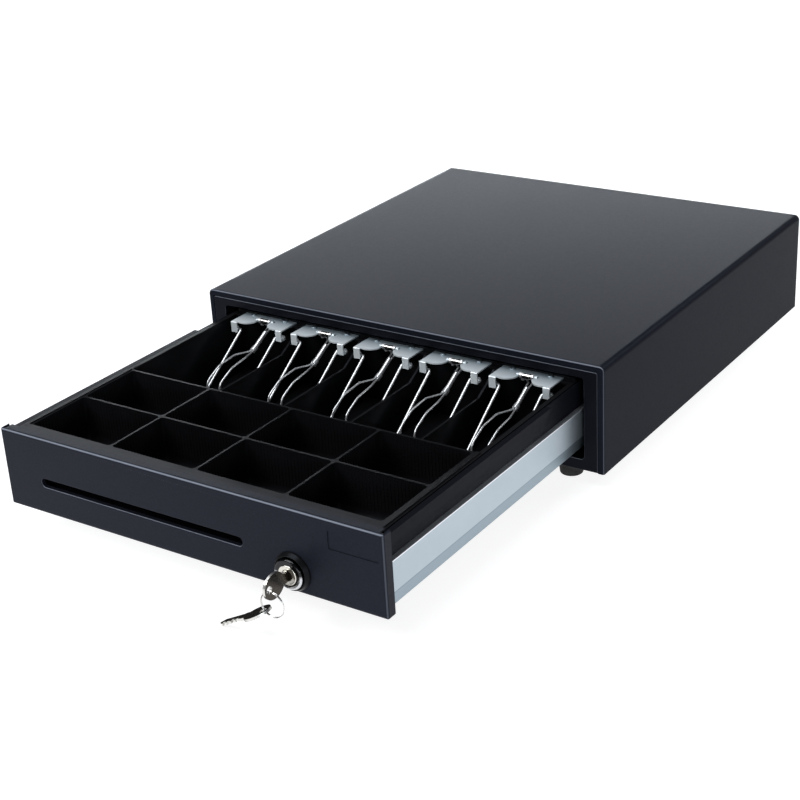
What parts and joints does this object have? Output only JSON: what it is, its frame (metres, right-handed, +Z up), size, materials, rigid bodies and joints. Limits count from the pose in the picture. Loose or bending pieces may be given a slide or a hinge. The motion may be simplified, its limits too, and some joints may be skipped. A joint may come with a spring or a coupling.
{
  "type": "cash drawer",
  "caption": "Folded steel cash drawer on roller slides, with a key lock, paper slot, note tray with wire clips and lift-out coin tray.",
  "frame": {"origin": "on the counter, under the centre of the case's footprint", "axes": "+Z up, +Y from the drawer's front to the back of the case, +X to the right as seen from the front"},
  "size_m": [0.41, 0.7465, 0.1086],
  "materials": {
    "case_paint": "textured powder coat, dark grey",
    "panel_paint": "textured powder coat, near black",
    "frame_paint": "satin black paint",
    "black_abs": "fine-grained moulded plastic",
    "zinc_steel": "bright zinc plate",
    "nickel_wire": "bright nickel plate",
    "chrome": "polished chrome",
    "brass_plug": "nickel plate",
    "black_bezel": "satin",
    "rubber": "matt",
    "screw_steel": "black zinc",
    "roller_pom": "smooth white acetal",
    "copper_coil": "taped winding",
    "spring_steel": "oiled spring wire",
    "lead_sheath": "satin"
  },
  "bodies": {
    "case": {"case_cover": "case_paint", "base_pan": "case_paint", "front_frame": "frame_paint", "rear_panel": "case_paint", "rubber_feet": "rubber", "case_screws": "screw_steel", "cabinet_runner_left": "zinc_steel", "cabinet_runner_right": "zinc_steel", "cabinet_roller_axles": "nickel_wire", "runner_bumpers": "rubber", "latch_bracket": "zinc_steel", "latch_pin": "nickel_wire", "solenoid_frame": "zinc_steel", "solenoid_coil": "copper_coil", "micro_switch": "black_abs", "latch_spring": "spring_steel", "ejector_seat": "zinc_steel", "ejector_spring": "spring_steel", "jack_socket": "black_abs", "wiring_lead": "lead_sheath"},
    "latch_hook": {"latch_hook": "zinc_steel"},
    "solenoid_plunger": {"solenoid_plunger": "nickel_wire"},
    "switch_button": {"switch_button": "black_abs"},
    "cabinet_roller_left": {"cabinet_roller_left": "roller_pom"},
    "cabinet_roller_right": {"cabinet_roller_right": "roller_pom"},
    "drawer": {"drawer_front": "panel_paint", "drawer_pan": "panel_paint", "drawer_rail_left": "zinc_steel", "drawer_rail_right": "zinc_steel", "drawer_roller_axles": "nickel_wire", "cash_tray": "black_abs", "strike_plate": "zinc_steel", "lock_bezel": "black_bezel", "lock_body": "chrome", "lock_nut": "zinc_steel", "clip_pins": "nickel_wire", "clip_screws": "zinc_steel", "clip_bracket_1": "zinc_steel", "clip_bracket_2": "zinc_steel", "clip_bracket_3": "zinc_steel", "clip_bracket_4": "zinc_steel", "clip_bracket_5": "zinc_steel"},
    "drawer_roller_left": {"drawer_roller_left": "roller_pom"},
    "drawer_roller_right": {"drawer_roller_right": "roller_pom"},
    "coin_tray": {"coin_tray": "black_abs"},
    "lock_plug": {"lock_plug": "brass_plug", "lock_cam": "zinc_steel", "drawer_key": "nickel_wire"},
    "key_ring": {"key_ring": "nickel_wire"},
    "spare_key": {"spare_key": "nickel_wire"},
    "bill_clip_bail_1": {"bill_clip_bail_1": "nickel_wire"},
    "bill_clip_lever_1": {"bill_clip_lever_1": "nickel_wire"},
    "bill_clip_bail_2": {"bill_clip_bail_2": "nickel_wire"},
    "bill_clip_lever_2": {"bill_clip_lever_2": "nickel_wire"},
    "bill_clip_bail_3": {"bill_clip_bail_3": "nickel_wire"},
    "bill_clip_lever_3": {"bill_clip_lever_3": "nickel_wire"},
    "bill_clip_bail_4": {"bill_clip_bail_4": "nickel_wire"},
    "bill_clip_lever_4": {"bill_clip_lever_4": "nickel_wire"},
    "bill_clip_bail_5": {"bill_clip_bail_5": "nickel_wire"},
    "bill_clip_lever_5": {"bill_clip_lever_5": "nickel_wire"}
  },
  "joints": [
    {"name": "drawer_slide", "type": "slide", "parent": "case", "child": "drawer", "axis": [0, -1, 0], "range_m": [-0.2865, 0], "deforming": ["ejector_spring"]},
    {"name": "latch_turn", "type": "hinge", "parent": "case", "child": "latch_hook", "pos_m": [0, 0.138, 0.058], "axis": [-1, 0, 0], "range_deg": [0, 12], "deforming": ["latch_spring"]},
    {"name": "solenoid_plunger_slide", "type": "slide", "parent": "case", "child": "solenoid_plunger", "axis": [0, 0, 1], "range_m": [-0.0041, 0]},
    {"name": "switch_button_press", "type": "slide", "parent": "case", "child": "switch_button", "axis": [0, 0, 1], "range_m": [0, 0.0028]},
    {"name": "cabinet_roller_left_spin", "type": "hinge", "parent": "case", "child": "cabinet_roller_left", "pos_m": [-0.189, -0.18, 0.0331], "axis": [1, 0, 0], "continuous": true},
    {"name": "drawer_roller_left_spin", "type": "hinge", "parent": "drawer", "child": "drawer_roller_left", "pos_m": [-0.192, -0.132, 0.0544], "axis": [1, 0, 0], "continuous": true},
    {"name": "cabinet_roller_right_spin", "type": "hinge", "parent": "case", "child": "cabinet_roller_right", "pos_m": [0.189, -0.18, 0.0331], "axis": [1, 0, 0], "continuous": true},
    {"name": "drawer_roller_right_spin", "type": "hinge", "parent": "drawer", "child": "drawer_roller_right", "pos_m": [0.192, -0.132, 0.0544], "axis": [1, 0, 0], "continuous": true},
    {"name": "coin_tray_lift", "type": "slide", "parent": "drawer", "child": "coin_tray", "axis": [0, 0, 1], "range_m": [0, 0.08]},
    {"name": "lock_turn", "type": "hinge", "parent": "drawer", "child": "lock_plug", "pos_m": [0.1035, -0.4965, 0.0419], "axis": [0, 1, 0], "range_deg": [0, 90]},
    {"name": "key_ring_swing", "type": "hinge", "parent": "lock_plug", "child": "key_ring", "pos_m": [0.1035, -0.5258, 0.04015], "axis": [1, 0, 0], "range_deg": [-20, 35]},
    {"name": "spare_key_swing", "type": "hinge", "parent": "key_ring", "child": "spare_key", "pos_m": [0.09879, -0.5258, 0.02305], "axis": [0.7071, 0, -0.7071], "range_deg": [-40, 0]},
    {"name": "bill_clip_bail_1_lift", "type": "hinge", "parent": "drawer", "child": "bill_clip_bail_1", "pos_m": [-0.1368, -0.2249, 0.082], "axis": [-1, 0, 0], "range_deg": [0, 85]},
    {"name": "bill_clip_lever_1_lift", "type": "hinge", "parent": "drawer", "child": "bill_clip_lever_1", "pos_m": [-0.1368, -0.214, 0.0892], "axis": [-1, 0, 0], "range_deg": [0, 85]},
    {"name": "bill_clip_bail_2_lift", "type": "hinge", "parent": "drawer", "child": "bill_clip_bail_2", "pos_m": [-0.0684, -0.2249, 0.082], "axis": [-1, 0, 0], "range_deg": [0, 85]},
    {"name": "bill_clip_lever_2_lift", "type": "hinge", "parent": "drawer", "child": "bill_clip_lever_2", "pos_m": [-0.0684, -0.214, 0.0892], "axis": [-1, 0, 0], "range_deg": [0, 85]},
    {"name": "bill_clip_bail_3_lift", "type": "hinge", "parent": "drawer", "child": "bill_clip_bail_3", "pos_m": [0, -0.2249, 0.082], "axis": [-1, 0, 0], "range_deg": [0, 85]},
    {"name": "bill_clip_lever_3_lift", "type": "hinge", "parent": "drawer", "child": "bill_clip_lever_3", "pos_m": [0, -0.214, 0.0892], "axis": [-1, 0, 0], "range_deg": [0, 85]},
    {"name": "bill_clip_bail_4_lift", "type": "hinge", "parent": "drawer", "child": "bill_clip_bail_4", "pos_m": [0.0684, -0.2249, 0.082], "axis": [-1, 0, 0], "range_deg": [0, 85]},
    {"name": "bill_clip_lever_4_lift", "type": "hinge", "parent": "drawer", "child": "bill_clip_lever_4", "pos_m": [0.0684, -0.214, 0.0892], "axis": [-1, 0, 0], "range_deg": [0, 85]},
    {"name": "bill_clip_bail_5_lift", "type": "hinge", "parent": "drawer", "child": "bill_clip_bail_5", "pos_m": [0.1368, -0.2249, 0.082], "axis": [-1, 0, 0], "range_deg": [0, 85]},
    {"name": "bill_clip_lever_5_lift", "type": "hinge", "parent": "drawer", "child": "bill_clip_lever_5", "pos_m": [0.1368, -0.214, 0.0892], "axis": [-1, 0, 0], "range_deg": [0, 85]}
  ],
  "couplings": [
    {"joint": "latch_turn", "follows": "solenoid_plunger_slide", "rad_per_m": -50},
    {"joint": "switch_button_press", "follows": "solenoid_plunger_slide", "ratio": -0.6},
    {"joint": "cabinet_roller_left_spin", "follows": "drawer_slide", "rad_per_m": 125},
    {"joint": "drawer_roller_left_spin", "follows": "drawer_slide", "rad_per_m": 100},
    {"joint": "cabinet_roller_right_spin", "follows": "drawer_slide", "rad_per_m": 125},
    {"joint": "drawer_roller_right_spin", "follows": "drawer_slide", "rad_per_m": 100},
    {"joint": "bill_clip_lever_1_lift", "follows": "bill_clip_bail_1_lift", "ratio": 1},
    {"joint": "bill_clip_lever_2_lift", "follows": "bill_clip_bail_2_lift", "ratio": 1},
    {"joint": "bill_clip_lever_3_lift", "follows": "bill_clip_bail_3_lift", "ratio": 1},
    {"joint": "bill_clip_lever_4_lift", "follows": "bill_clip_bail_4_lift", "ratio": 1},
    {"joint": "bill_clip_lever_5_lift", "follows": "bill_clip_bail_5_lift", "ratio": 1}
  ]
}
